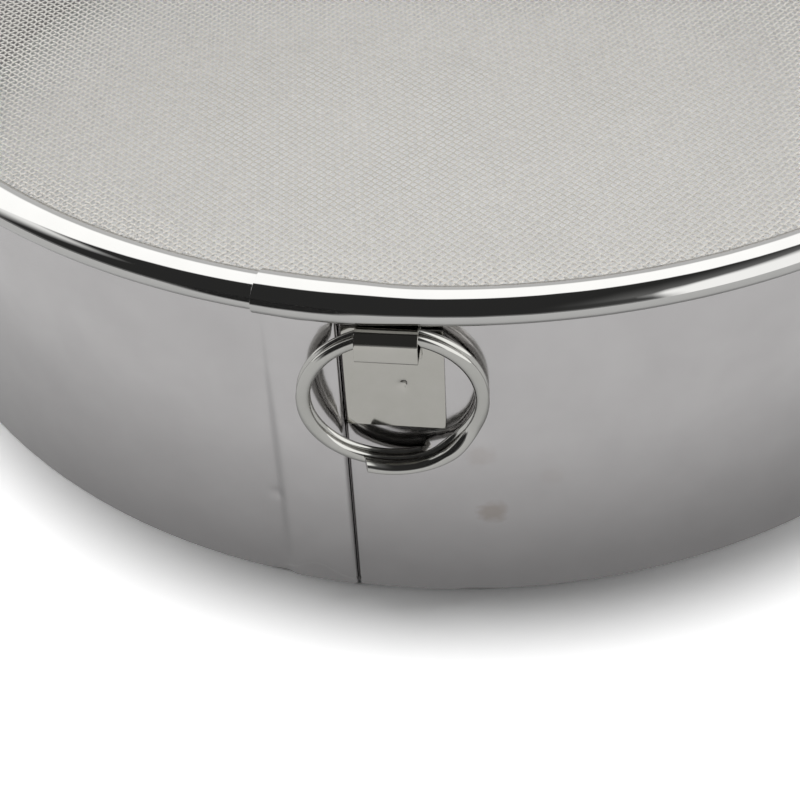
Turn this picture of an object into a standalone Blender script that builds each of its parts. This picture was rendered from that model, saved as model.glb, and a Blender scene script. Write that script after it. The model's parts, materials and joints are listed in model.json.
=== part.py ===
"""Drum flour sieve: a round steel hoop standing on its open end, with fine wire cloth
across the top, a rolled rim band that grips the cloth, and a split ring in a folded clip.

Units are metres, +Z is up, and the origin is on the floor in the middle of the hoop.
The clip and its ring are at azimuth 0, which is the -Y side. Azimuth grows towards +X."""

import math

import bmesh
import bpy
from mathutils import Vector

# Fits
GAP = 0.0003                  # between pieces that touch on the real sieve
FLOOR = 0.0                   # height that the hoop stands on
ROUND_STEPS = 96              # flat facets round the drum

# Hoop
WALL_RADIUS = 0.100           # outer face
WALL_THICK = 0.0004
HOOP_HEIGHT = 0.0579

# Lock seam where the hoop's two ends hook into each other
SEAM_AZIMUTH = math.radians(-4.2)     # right-hand fold
SEAM_WIDTH = 0.0092
SEAM_PROUD = 0.00055          # how far the outer layer stands out of the wall
SEAM_GAP = 0.00012            # between the four layers
SEAM_JOGGLE = 0.0010          # length of each step in the sheet
SEAM_HOOK = 0.0010            # room at the end of each hook
SEAM_STEP = 0.0012            # longest facet along the seam

# Rim band, rolled from a flat strip to a C and lapped over itself
RIM_THICK = 0.0003
RIM_HALF_WIDTH = 0.0030
RIM_HALF_HEIGHT = 0.0022
RIM_OUTSET = 0.0010           # middle of the band's section, out from the wall's face
RIM_LIP_RISE = 0.00092        # inner lip, above the middle of the section
RIM_LAP_AZIMUTH = math.radians(-9.8)
RIM_LAP = math.radians(6.0)   # overlap
RIM_LAP_GAP = 0.00005
RIM_LAP_EASE = math.radians(6.0)
RIM_FACETS = 11

# Wire cloth, drawn as a coarse net of the real cloth's weight
CLOTH_THICK = 0.00042
CLOTH_SKIRT = 0.00205         # edge turned down outside the hoop, top to bottom
NET_PITCH = 0.0110
NET_BAR = 0.0020
NET_BORDER = 0.0020           # unbroken edge inside the wall
NET_TURN = math.radians(54)   # of the weave, from the clip

# Hanger clip, a T-shaped strip spot-welded to the wall and folded round the ring
CLIP_THICK = 0.0004
PLATE_WIDTH = 0.0135
PLATE_SHIFT = 0.0005          # middle of the plate, towards +X
PLATE_DROP = 0.0173           # from the loop's middle to the plate's lower edge
TONGUE_WIDTH = 0.0083
LOOP_RADIUS = 0.0019          # inside
LOOP_WRAP = math.radians(50)  # how far the round part runs below the front
FLAP_LENGTH = 0.0056          # lowest point of the tongue, below the loop's middle

# Split ring, a flat wire wound a little over two turns
RING_RADIUS = 0.01315         # outside
RING_WIRE_WIDTH = 0.0018      # across the ring
RING_WIRE_THICK = 0.0010      # along the ring's axis
RING_WIRE_CORNER = 0.00025
RING_TURN_GAP = 0.00042       # between turns
RING_START = math.radians(-16)        # front end, from the ring's lowest point
RING_OVERLAP = math.radians(36)       # wire past two full turns
RING_JOG_START = math.radians(60)     # where the front end steps in, from that end
RING_JOG = math.radians(35)
RING_STEP = math.radians(9)
RING_LEAN = math.radians(1.8)         # lowest point leans in towards the wall

# Sizes that follow from the ones above
CLOTH_BOTTOM = HOOP_HEIGHT + GAP
CLOTH_TOP = CLOTH_BOTTOM + CLOTH_THICK
SKIRT_RADIUS = WALL_RADIUS + GAP
RIM_RADIUS = WALL_RADIUS + RIM_OUTSET
RIM_LEVEL = CLOTH_TOP + GAP - RIM_LIP_RISE
RIM_BOTTOM = RIM_LEVEL - RIM_HALF_HEIGHT
RIM_STEP = RIM_THICK + RIM_LAP_GAP
SEAM_TOP = RIM_BOTTOM - RIM_STEP - GAP
PLATE_FACE = WALL_RADIUS + GAP + CLIP_THICK
PIVOT_OUT = PLATE_FACE + LOOP_RADIUS
PIVOT_LEVEL = RIM_BOTTOM - GAP - LOOP_RADIUS - CLIP_THICK
NET_RADIUS = WALL_RADIUS - WALL_THICK - NET_BORDER
RING_MIDDLE = RING_RADIUS - RING_WIRE_WIDTH / 2
RING_PITCH = RING_WIRE_THICK + RING_TURN_GAP


def clear_scene():
    for old in list(bpy.data.objects):
        bpy.data.objects.remove(old, do_unlink=True)


def steel(name, colour, roughness):
    """Stainless steel as a Principled material."""
    material = bpy.data.materials.new(name)
    material.use_nodes = True
    shader = material.node_tree.nodes["Principled BSDF"]
    shader.inputs["Base Color"].default_value = (*colour, 1.0)
    shader.inputs["Metallic"].default_value = 1.0
    shader.inputs["Roughness"].default_value = roughness
    material.diffuse_color = (*colour, 1.0)
    return material


def make_object(name, mesh, material):
    made = bpy.data.objects.new(name, mesh)
    bpy.context.scene.collection.objects.link(made)
    made.data.materials.append(material)
    return made


def mesh_from_bmesh(name, shape, smooth_angle=math.radians(30)):
    bmesh.ops.recalc_face_normals(shape, faces=shape.faces)
    mesh = bpy.data.meshes.new(name)
    shape.to_mesh(mesh)
    shape.free()
    mesh.shade_smooth()
    mesh.set_sharp_from_angle(angle=smooth_angle)
    return mesh


def thicken(piece, thickness):
    """A sheet's full thickness, half of it on each side of the modelled surface."""
    solidify = piece.modifiers.new("sheet", "SOLIDIFY")
    solidify.thickness = thickness
    solidify.offset = 0.0
    solidify.use_even_offset = True


def combine(piece, tool, operation):
    """Cuts the piece with a tool shape, or keeps what the two share. The tool stays as a guide."""
    tool.hide_render = True
    tool.display_type = "WIRE"
    boolean = piece.modifiers.new(operation.lower(), "BOOLEAN")
    boolean.operation = operation
    boolean.solver = "EXACT"
    boolean.object = tool


def at_azimuth(radius, azimuth, height=0.0):
    return Vector((radius * math.sin(azimuth), -radius * math.cos(azimuth), height))


def ease(share):
    """Rises smoothly from 0 to 1 as share does, and stays level outside that."""
    share = min(max(share, 0.0), 1.0)
    return share * share * (3 - 2 * share)


def run(start, end, longest):
    """Values from start to end, both included, no further apart than longest."""
    count = max(1, math.ceil(abs(end - start) / longest))
    return [start + (end - start) * i / count for i in range(count + 1)]


def half_turn(centre, radius, start, turn, count=6):
    """Points inside a bend, as (along, outward), without its two ends."""
    angles = [start + turn * i / count for i in range(1, count)]
    return [(centre[0] + radius * math.cos(a), centre[1] + radius * math.sin(a)) for a in angles]


def seam_levels():
    """Middle of each of the seam's four layers, outward from the wall's own middle."""
    layer = WALL_THICK + SEAM_GAP
    return [SEAM_PROUD - i * layer for i in range(4)]


def hoop_line():
    """The hoop's sheet seen from above, as (along the wall, outward) from the fold."""
    outer, hook, hem, under = seam_levels()
    bend = (outer - hem) / 2
    far_bend = -SEAM_WIDTH + SEAM_JOGGLE + bend
    near_bend = -WALL_THICK / 2 - bend
    around = 2 * math.pi * WALL_RADIUS
    facet = around / ROUND_STEPS
    line = [(s, hook) for s in run(near_bend - SEAM_HOOK / 2, far_bend, SEAM_STEP)]
    line += half_turn((far_bend, (hook + under) / 2), bend, math.pi / 2, math.pi)
    line += [(s, under) for s in run(far_bend, 0.0, SEAM_STEP)]
    line += [(SEAM_JOGGLE + WALL_THICK, 0.0)]
    wall_end = around - SEAM_WIDTH - SEAM_JOGGLE
    line += [(s, 0.0) for s in run(facet, wall_end, facet)]
    line += [(around + s, outer) for s in run(-SEAM_WIDTH, near_bend, SEAM_STEP)]
    line += [(around + s, n) for s, n in half_turn((near_bend, hook), bend, math.pi / 2, -math.pi)]
    line += [(around + s, hem) for s in run(near_bend, far_bend + SEAM_HOOK, SEAM_STEP)]
    return line


def seam_point(along, outward, height):
    radius = WALL_RADIUS - WALL_THICK / 2 + outward
    return at_azimuth(radius, SEAM_AZIMUTH + along / WALL_RADIUS, height)


def wall_of(line, bottom, top):
    """An open upright sheet that follows a line of (along, outward) points."""
    shape = bmesh.new()
    low = [shape.verts.new(seam_point(s, n, bottom)) for s, n in line]
    high = [shape.verts.new(seam_point(s, n, top)) for s, n in line]
    for i in range(len(line) - 1):
        shape.faces.new((low[i], low[i + 1], high[i + 1], high[i]))
    return shape


def make_wall_hoop(material):
    sheet = wall_of(hoop_line(), FLOOR, HOOP_HEIGHT)
    hoop = make_object("wall_hoop", mesh_from_bmesh("wall_hoop", sheet), material)
    thicken(hoop, WALL_THICK)
    # All layers but the innermost are notched away at the top, so that one enters the rim.
    outer, hook, hem, under = seam_levels()
    inside = (hem + under) / 2
    depth = outer + WALL_THICK - inside
    notch_ends = (-SEAM_WIDTH - SEAM_JOGGLE, WALL_THICK / 2)
    notch_line = [(s, inside + depth / 2) for s in run(*notch_ends, SEAM_STEP)]
    notch_shape = wall_of(notch_line, SEAM_TOP, HOOP_HEIGHT + WALL_THICK)
    notch = make_object("seam_notch", mesh_from_bmesh("seam_notch", notch_shape), material)
    thicken(notch, depth)
    combine(hoop, notch, "DIFFERENCE")


def rim_section(grow):
    """Middle line of the rolled C as (radius, height), from its inner lip to its foot."""
    half_width = RIM_HALF_WIDTH - RIM_THICK / 2 + grow
    half_height = RIM_HALF_HEIGHT - RIM_THICK / 2 + grow
    lip = math.pi - math.asin(RIM_LIP_RISE / half_height)
    foot = -math.pi / 2 - math.asin((RIM_OUTSET - GAP) / half_width)
    angles = [lip + (foot - lip) * i / RIM_FACETS for i in range(RIM_FACETS + 1)]
    return [(RIM_RADIUS + half_width * math.cos(a), RIM_LEVEL + half_height * math.sin(a)) for a in angles]


def rim_grow(angle):
    """The lapping end is larger, and shrinks back to the band's own size past the lap."""
    return RIM_STEP * (1 - ease((angle - RIM_LAP) / RIM_LAP_EASE))


def make_rim_band(material):
    full = 2 * math.pi
    lap = run(0.0, RIM_LAP, RIM_LAP / 2)
    stations = lap + run(RIM_LAP, full, full / ROUND_STEPS)[1:] + [full + a for a in lap[1:]]
    shape = bmesh.new()
    rows = []
    for angle in stations:
        section = rim_section(rim_grow(angle))
        azimuth = RIM_LAP_AZIMUTH + angle
        rows.append([shape.verts.new(at_azimuth(r, azimuth, z)) for r, z in section])
    for row, following in zip(rows, rows[1:]):
        for j in range(RIM_FACETS):
            shape.faces.new((row[j], row[j + 1], following[j + 1], following[j]))
    band = make_object("rim_band", mesh_from_bmesh("rim_band", shape), material)
    thicken(band, RIM_THICK)


def turned(section):
    """A solid turned round the drum's axis, from (radius, height) points, flat at both ends."""
    shape = bmesh.new()
    steps = [2 * math.pi * k / ROUND_STEPS for k in range(ROUND_STEPS)]
    rings = [[shape.verts.new(at_azimuth(r, a, z)) for a in steps] for r, z in section]
    for ring, following in zip(rings, rings[1:]):
        for k in range(ROUND_STEPS):
            nxt = (k + 1) % ROUND_STEPS
            shape.faces.new((ring[k], ring[nxt], following[nxt], following[k]))
    shape.faces.new(rings[0])
    shape.faces.new(rings[-1])
    return shape


def net_gaps(side):
    """Middles of the net's square gaps, out to those that the border cuts short."""
    limit = NET_RADIUS + side / 4
    reach = math.ceil(limit / NET_PITCH)
    places = [i * NET_PITCH for i in range(-reach, reach + 1)]
    return [(x, y) for x in places for y in places if math.hypot(x, y) <= limit]


def make_mesh_disc(material):
    # A flat top, and an edge turned down outside the hoop.
    edge = SKIRT_RADIUS + CLOTH_THICK
    foot = CLOTH_TOP - CLOTH_SKIRT
    section = [(edge, CLOTH_TOP), (edge, foot), (SKIRT_RADIUS, foot), (SKIRT_RADIUS, CLOTH_BOTTOM)]
    cloth = make_object("mesh_disc", mesh_from_bmesh("mesh_disc", turned(section)), material)

    # Square punches for the gaps, cut off round at the border, go through the top.
    side = NET_PITCH - NET_BAR
    low = CLOTH_BOTTOM - CLOTH_THICK
    high = CLOTH_TOP + CLOTH_THICK
    punches = bmesh.new()
    for x, y in net_gaps(side):
        made = bmesh.ops.create_cube(punches, size=1.0)["verts"]
        bmesh.ops.scale(punches, vec=(side, side, high - low), verts=made)
        bmesh.ops.translate(punches, vec=(x, y, (high + low) / 2), verts=made)
    punch = make_object("net_punch", mesh_from_bmesh("net_punch", punches), material)
    punch.rotation_euler.z = NET_TURN
    round_off = turned([(NET_RADIUS, high + CLOTH_THICK), (NET_RADIUS, low - CLOTH_THICK)])
    border = make_object("net_border", mesh_from_bmesh("net_border", round_off), material)
    combine(punch, border, "INTERSECT")
    combine(cloth, punch, "DIFFERENCE")
    print("net gaps", len(net_gaps(side)))


def clip_line():
    """Middle of the strip as (outward from the loop's middle, height above it)."""
    middle = LOOP_RADIUS + CLIP_THICK / 2
    line = [(-middle, h) for h in run(-PLATE_DROP, 0.0, PLATE_DROP)]
    angles = run(math.pi, -LOOP_WRAP, math.radians(15))[1:]
    line += [(middle * math.cos(a), middle * math.sin(a)) for a in angles]
    # From there the strip runs straight to the plate, and ends flat on it.
    out, down = line[-1]
    landing = -middle + CLIP_THICK + GAP
    slope = math.tan(LOOP_WRAP)
    line.append((landing, down - (out - landing) / slope))
    line.append((landing, -FLAP_LENGTH))
    return line


def make_hanger_clip(material):
    half_tongue = TONGUE_WIDTH / 2
    left = PLATE_SHIFT - PLATE_WIDTH / 2
    right = PLATE_SHIFT + PLATE_WIDTH / 2
    plate_columns = (left, -half_tongue, half_tongue, right)
    shape = bmesh.new()
    rows = []
    for out, height in clip_line():
        # The two ends of the flat plate come first, with its wings beside the tongue.
        columns = plate_columns if len(rows) < 2 else plate_columns[1:3]
        points = [(x, -PIVOT_OUT - out, PIVOT_LEVEL + height) for x in columns]
        rows.append([shape.verts.new(point) for point in points])
    for row, following in zip(rows, rows[1:]):
        narrow = row[1:3] if len(row) > len(following) else row
        for c in range(len(following) - 1):
            shape.faces.new((narrow[c], narrow[c + 1], following[c + 1], following[c]))
    clip = make_object("hanger_clip", mesh_from_bmesh("hanger_clip", shape), material)
    thicken(clip, CLIP_THICK)


def ring_layer(angle):
    """Which layer the wire lies in at an angle from its front end: 0 is the front."""
    first = ease((angle - RING_JOG_START) / RING_JOG)
    second = ease((angle - 2 * math.pi - RING_OVERLAP) / RING_JOG)
    return first + second


def ring_hang():
    """Height of the ring's middle above the pivot, which halves the play in the loop."""
    droop = RING_MIDDLE - math.sqrt(RING_MIDDLE ** 2 - (TONGUE_WIDTH / 2) ** 2)
    return droop / 2 - RING_MIDDLE


def wire_section():
    """The wire's outline as (radial, axial) points: a rectangle with its corners cut off."""
    half_width = RING_WIRE_WIDTH / 2
    half_thick = RING_WIRE_THICK / 2
    c = RING_WIRE_CORNER
    quarter = [(half_width - c, half_thick), (half_width, half_thick - c)]
    below = [(r, -a) for r, a in reversed(quarter)]
    across = [(-r, -a) for r, a in quarter]
    return quarter + below + across + [(-r, a) for r, a in reversed(quarter)]


def least_turn_gap(rows, rows_in_a_turn):
    """Smallest distance between points of the wire that lie a turn or so apart."""
    least = math.inf
    for i, row in enumerate(rows):
        for other in rows[i + rows_in_a_turn // 2:]:
            least = min(least, min((p - q).length for p in row for q in other))
    return least


def make_split_ring(material):
    front_layers = 1.5        # layers in front of the pivot's middle
    points = []
    for angle in run(0.0, 4 * math.pi + RING_OVERLAP, RING_STEP):
        around = RING_START + angle
        behind = (ring_layer(angle) - front_layers) * RING_PITCH
        row = []
        for radial, axial in wire_section():
            radius = RING_MIDDLE + radial
            height = ring_hang() - radius * math.cos(around)
            row.append(Vector((radius * math.sin(around), behind + axial, height)))
        points.append(row)
    shape = bmesh.new()
    rows = [[shape.verts.new(point) for point in row] for row in points]
    sides = len(wire_section())
    for row, following in zip(rows, rows[1:]):
        for k in range(sides):
            nxt = (k + 1) % sides
            shape.faces.new((row[k], row[nxt], following[nxt], following[k]))
    shape.faces.new(rows[0])
    shape.faces.new(rows[-1])
    ring = make_object("split_ring", mesh_from_bmesh("split_ring", shape), material)
    ring.location = (0.0, -PIVOT_OUT, PIVOT_LEVEL)
    ring.rotation_euler.x = RING_LEAN
    gap = least_turn_gap(points, round(2 * math.pi / RING_STEP))
    print("least gap between the ring's turns, mm", round(gap * 1000, 3))


def main():
    clear_scene()
    make_wall_hoop(steel("steel_sheet_satin", (0.56, 0.55, 0.54), 0.22))
    make_rim_band(steel("steel_band_polished", (0.70, 0.70, 0.69), 0.06))
    make_mesh_disc(steel("steel_wire_cloth", (0.60, 0.59, 0.57), 0.35))
    make_hanger_clip(steel("steel_strip_bright", (0.60, 0.59, 0.56), 0.18))
    make_split_ring(steel("steel_wire_nickelled", (0.68, 0.67, 0.65), 0.10))
    print("pivot", PIVOT_OUT, PIVOT_LEVEL, "rim top", RIM_LEVEL + RIM_HALF_HEIGHT)


main()
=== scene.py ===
import json
import math

import bmesh
import bpy
from mathutils import Matrix, Vector, noise


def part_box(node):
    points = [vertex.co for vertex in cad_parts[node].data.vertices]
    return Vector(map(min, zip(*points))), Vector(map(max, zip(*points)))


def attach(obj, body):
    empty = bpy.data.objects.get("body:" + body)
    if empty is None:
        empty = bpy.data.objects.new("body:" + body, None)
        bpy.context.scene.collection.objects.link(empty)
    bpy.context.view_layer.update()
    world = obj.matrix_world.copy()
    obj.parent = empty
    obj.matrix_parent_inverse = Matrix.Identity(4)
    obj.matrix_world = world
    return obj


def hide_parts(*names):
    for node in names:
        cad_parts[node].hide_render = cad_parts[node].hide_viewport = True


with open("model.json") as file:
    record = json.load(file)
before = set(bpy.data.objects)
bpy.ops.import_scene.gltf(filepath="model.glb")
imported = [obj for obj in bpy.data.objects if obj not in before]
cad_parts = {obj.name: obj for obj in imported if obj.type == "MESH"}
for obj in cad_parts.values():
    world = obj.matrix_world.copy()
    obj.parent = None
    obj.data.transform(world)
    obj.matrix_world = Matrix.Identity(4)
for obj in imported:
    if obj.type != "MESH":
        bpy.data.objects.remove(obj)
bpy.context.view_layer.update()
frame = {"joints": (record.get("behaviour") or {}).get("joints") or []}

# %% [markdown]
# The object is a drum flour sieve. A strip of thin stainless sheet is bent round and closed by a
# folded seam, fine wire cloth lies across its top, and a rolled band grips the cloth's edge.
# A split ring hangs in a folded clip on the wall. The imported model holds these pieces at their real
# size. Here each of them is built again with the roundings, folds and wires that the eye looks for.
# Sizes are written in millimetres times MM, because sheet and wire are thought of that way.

MM = 0.001
wall_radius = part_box("wall_hoop")[1].x
hoop_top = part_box("wall_hoop")[1].z
SHEET = 0.4 * MM
print("wall radius and hoop height, mm:", round(wall_radius / MM, 2), round(hoop_top / MM, 2))

# %% [markdown]
# Places round a drum are easiest to think of as an azimuth, a radius and a height. Azimuth 0 is the
# side with the ring, and it grows to the right. Three more helpers shape things along a line: a
# smooth rise, a bell curve, and a run of evenly spaced values.

# %% Helpers for places
def on_drum(radius, azimuth, height=0.0):
    return Vector((radius * math.sin(azimuth), -radius * math.cos(azimuth), height))


def ease(share):
    """Rises smoothly from 0 to 1, and stays level outside that."""
    share = min(max(share, 0.0), 1.0)
    return share * share * (3 - 2 * share)


def hump(value, middle, width):
    """A bell curve, 1 in the middle."""
    return math.exp(-(((value - middle) / width) ** 2))


def run(start, end, longest):
    """Values from start to end, both included, no further apart than longest."""
    count = max(1, math.ceil(abs(end - start) / longest - 1e-6))
    return [start + (end - start) * i / count for i in range(count + 1)]


print("front of the wall, mm:", [round(c / MM, 1) for c in on_drum(wall_radius, 0.0)])

# %% [markdown]
# Sheet metal is made here as it is in a workshop: a line is drawn, pulled into a surface, and only
# then given its thickness. A block with its inside cut away would come to the same form, but a
# surface can be folded and dented while it is thin. One helper draws the line, one pulls a row of
# edges on with bmesh's extrude, and one makes the finished bmesh an object at the origin.

# %% Helpers that pull a surface
def draw_line(shape, points):
    """Draws a line through the points. Returns its vertices and edges."""
    verts = [shape.verts.new(point) for point in points]
    return verts, [shape.edges.new(pair) for pair in zip(verts, verts[1:])]


def pull_row(shape, edges):
    """Extrudes a row of edges in place. Returns the new vertices and the new row's edges."""
    grown = bmesh.ops.extrude_edge_only(shape, edges=edges)["geom"]
    verts = [g for g in grown if isinstance(g, bmesh.types.BMVert)]
    fresh = set(verts)
    made = [g for g in grown if isinstance(g, bmesh.types.BMEdge)]
    return verts, [e for e in made if e.verts[0] in fresh and e.verts[1] in fresh]


def add_object(name, data):
    """Puts a new object into the scene, at the origin."""
    added = bpy.data.objects.new(name, data)
    bpy.context.scene.collection.objects.link(added)
    return added


def new_piece(name, shape, material, turn_out=True):
    """Turns a bmesh into an object."""
    if turn_out:
        bmesh.ops.recalc_face_normals(shape, faces=shape.faces)
    mesh = bpy.data.meshes.new(name)
    shape.to_mesh(mesh)
    shape.free()
    mesh.materials.append(material)
    return add_object(name, mesh)


trial = bmesh.new()
trial_edges = draw_line(trial, [(0, 0, 0), (1, 0, 0), (2, 0, 0)])[1]
pull_row(trial, trial_edges)
print("a line of two edges, pulled once, has faces:", len(trial.faces))
trial.free()

# %% [markdown]
# Solidify gives a surface its thickness, and Bevel breaks its sharp edges, as a file does. Both are
# then made part of the mesh, so that smooth shading can be set from the real angles between faces.

# %% Helpers that give thickness
FOLD_ANGLE = math.radians(50)  # an edge sharper than this is broken by the bevel


def apply_modifiers(piece):
    depsgraph = bpy.context.evaluated_depsgraph_get()
    made = bpy.data.meshes.new_from_object(piece.evaluated_get(depsgraph))
    made.name = piece.name
    piece.modifiers.clear()
    piece.data = made


def round_shading(piece, sharp=35):
    """Shades a piece smooth, apart from edges sharper than an angle in degrees."""
    piece.data.shade_smooth()
    piece.data.set_sharp_from_angle(angle=math.radians(sharp))


def thicken(piece, thickness, edge=0.05 * MM):
    """Gives a sheet its thickness, half on each side, and breaks its sharp edges."""
    solidify = piece.modifiers.new("thickness", "SOLIDIFY")
    solidify.thickness = thickness
    solidify.offset = 0.0
    solidify.use_even_offset = True
    bevel = piece.modifiers.new("edges", "BEVEL")
    bevel.width = edge
    bevel.segments = 2
    bevel.limit_method = "ANGLE"
    bevel.angle_limit = FOLD_ANGLE
    apply_modifiers(piece)
    round_shading(piece)


def faces_of(piece):
    return len(piece.data.polygons)


print("edges sharper than this are broken, degrees:", round(math.degrees(FOLD_ANGLE)))

# %% [markdown]
# Colours are written as hex values, as a colour picker shows them, and turned to the linear values
# that the renderer works with. A material is a tree of nodes, and one helper adds any node to it.

# %% Helpers for colours and nodes
def hex_colour(text):
    parts = [int(text[i:i + 2], 16) / 255 for i in (1, 3, 5)]
    linear = [c / 12.92 if c <= 0.04045 else ((c + 0.055) / 1.055) ** 2.4 for c in parts]
    return (*linear, 1.0)


def add_node(tree, kind, inputs=None, **settings):
    """Adds a node. Each input is a plain value, or another node's output to link."""
    node = tree.nodes.new(kind)
    for name, value in settings.items():
        setattr(node, name, value)
    for name, value in (inputs or {}).items():
        if isinstance(value, bpy.types.NodeSocket):
            tree.links.new(value, node.inputs[name])
        else:
            node.inputs[name].default_value = value
    return node


print("middle grey #808080 in linear light:", round(hex_colour("#808080")[0], 3))

# %% [markdown]
# Every piece here is metal. Its look comes from how rough it is and from what it mirrors, and only a
# little from its own colour. Handling leaves soft clouds of duller and shinier metal, which a noise
# texture draws, and rolling or drawing leaves fine marks, which a bump draws.

# %% Helper for metals
def metal(name, shiny, dull, rough_low, rough_high, cloud, grain=None, grain_depth=0.0, metallic=1.0):
    """A metal that varies softly in colour and roughness over clouds of the given size.

    grain is the size of the finish's own marks along X, Y and Z, as (x, y, z), and grain_depth
    their depth, all in metres."""
    material = bpy.data.materials.new(name)
    material.use_nodes = True
    tree = material.node_tree
    shader = tree.nodes["Principled BSDF"]
    shader.inputs["Metallic"].default_value = metallic
    place = add_node(tree, "ShaderNodeTexCoord").outputs["Object"]
    clouds = add_node(tree, "ShaderNodeTexNoise", {
        "Vector": place, "Scale": 1 / cloud, "Detail": 3.0, "Roughness": 0.55})
    share = clouds.outputs["Fac"]
    tint = add_node(tree, "ShaderNodeMix", {
        "Factor": share, "A": hex_colour(dull), "B": hex_colour(shiny)}, data_type="RGBA")
    tree.links.new(tint.outputs["Result"], shader.inputs["Base Color"])
    # Most of the noise lies between 0.3 and 0.7.
    rough = add_node(tree, "ShaderNodeMapRange", {
        "Value": share, "From Min": 0.3, "From Max": 0.7,
        "To Min": rough_high, "To Max": rough_low})
    tree.links.new(rough.outputs["Result"], shader.inputs["Roughness"])
    if grain:
        stretch = add_node(tree, "ShaderNodeMapping", {
            "Vector": place, "Scale": tuple(1 / g for g in grain)})
        marks = add_node(tree, "ShaderNodeTexNoise", {
            "Vector": stretch.outputs["Vector"], "Scale": 1.0, "Detail": 2.0})
        bump = add_node(tree, "ShaderNodeBump", {
            "Height": marks.outputs["Fac"], "Strength": 1.0, "Distance": grain_depth})
        tree.links.new(bump.outputs["Normal"], shader.inputs["Normal"])
    print("material:", name)
    return material


# %% [markdown]
# The hoop is cold-rolled stainless sheet with a bright satin finish, type 2B or a soft polish. It
# mirrors what is near it, such as the ring, and blurs what is far. Rolling leaves faint marks along
# the strip, which here run round the drum, so the grain is long in X and Y and short in Z. The real
# marks are some 0.05 mm high, too fine to show, so they are drawn 0.35 mm high. Three old water
# stains, below and to the right of the ring, are duller and warmer, and two of them hardly show.

# %% Material of the hoop
# Azimuth in degrees, height and size in mm, and how strongly it covers the metal.
STAINS = ((7.4, 17.2, 1.9, 0.42), (6.5, 28.8, 1.8, 0.16), (12.2, 24.0, 1.6, 0.08))
STAIN_TATTERS = 1.2 * MM       # size of the ragged shapes at a stain's edge
STAIN_FADE = (1.1, 1.9)        # where a stain starts to fade and where it ends, in its own size


def add_stains(material, colour):
    """Mixes round stains on the wall into a material's own colour."""
    tree = material.node_tree
    shader = tree.nodes["Principled BSDF"]
    place = add_node(tree, "ShaderNodeTexCoord").outputs["Object"]
    ragged = add_node(tree, "ShaderNodeTexNoise", {
        "Vector": place, "Scale": 1 / STAIN_TATTERS, "Detail": 2.0})
    for azimuth, height, size, strength in STAINS:
        centre = on_drum(wall_radius, math.radians(azimuth), height * MM)
        far = add_node(tree, "ShaderNodeVectorMath", {0: place, 1: centre}, operation="DISTANCE")
        torn = add_node(tree, "ShaderNodeMath", {
            0: ragged.outputs["Fac"], 1: size * MM, 2: far.outputs["Value"]}, operation="MULTIPLY_ADD")
        share = add_node(tree, "ShaderNodeMapRange", {
            "Value": torn.outputs["Value"],
            "From Min": size * STAIN_FADE[0] * MM, "From Max": size * STAIN_FADE[1] * MM,
            "To Min": strength, "To Max": 0.0})
        before = shader.inputs["Base Color"].links[0].from_socket
        mixed = add_node(tree, "ShaderNodeMix", {
            "Factor": share.outputs["Result"], "A": before, "B": hex_colour(colour)}, data_type="RGBA")
        tree.links.new(mixed.outputs["Result"], shader.inputs["Base Color"])


stainless_satin = metal(
    "stainless_sheet_satin", shiny="#c1bfbf", dull="#b5b3b3", rough_low=0.12, rough_high=0.16,
    cloud=9 * MM, grain=(14 * MM, 14 * MM, 0.35 * MM), grain_depth=0.002 * MM)
add_stains(stainless_satin, "#96887b")
print("stains on it:", len(STAINS))

# %% [markdown]
# The seam is a grooved lock seam, the classic way to close a tin. The left end of the strip steps
# out, runs over the other end and folds back under it, and the right end steps in and folds the
# other way, so that the two hook into each other. Seen from above this is one line that doubles back
# twice, and each of its points is so far along the wall and so far out from it. From outside the
# seam shows as a flat strip 9 mm wide, with a soft crease on its left and a sharp fold on its right.

# %% Line of the hoop, seen from above
SEAM_AZIMUTH = math.radians(-4.2)
SEAM_WIDTH = 9.2 * MM
SEAM_PROUD = 0.55 * MM
SEAM_LAYER = SHEET + 0.12 * MM
SEAM_STEP = 0.45 * MM          # between points along the seam
CREASE = 1.9 * MM              # length of the soft step on the left
DIP = 0.65 * MM                # where the wall is level again, right of the fold
HOOK_GAP = 0.5 * MM            # how far short of the sharp fold's bend the inner hook ends
HUG = math.radians(80)         # how far the right end bends up round the fold
around = 2 * math.pi * wall_radius


def bend(centre, radius, start, turn, count=10):
    """Points inside a bend, as (along, outward), without its two ends."""
    angles = [start + turn * i / count for i in range(1, count)]
    return [(centre[0] + radius * math.cos(a), centre[1] + radius * math.sin(a)) for a in angles]


def step_between(start, end, low, high, count=6):
    """A smooth step in the sheet, without its two ends."""
    shares = [i / count for i in range(1, count)]
    return [(start + (end - start) * t, low + (high - low) * ease(t)) for t in shares]


def wall_columns():
    """Places along the plain wall: close together near the ring, where the photograph looks."""
    left = around - SEAM_WIDTH - CREASE
    near = 0.22 * wall_radius
    close, wide = 0.9 * MM, 3.4 * MM
    right_side = run(DIP, near, close)
    back = run(near, left - near, wide)[1:-1]
    return right_side + back + run(left - near, left, close)


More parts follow.
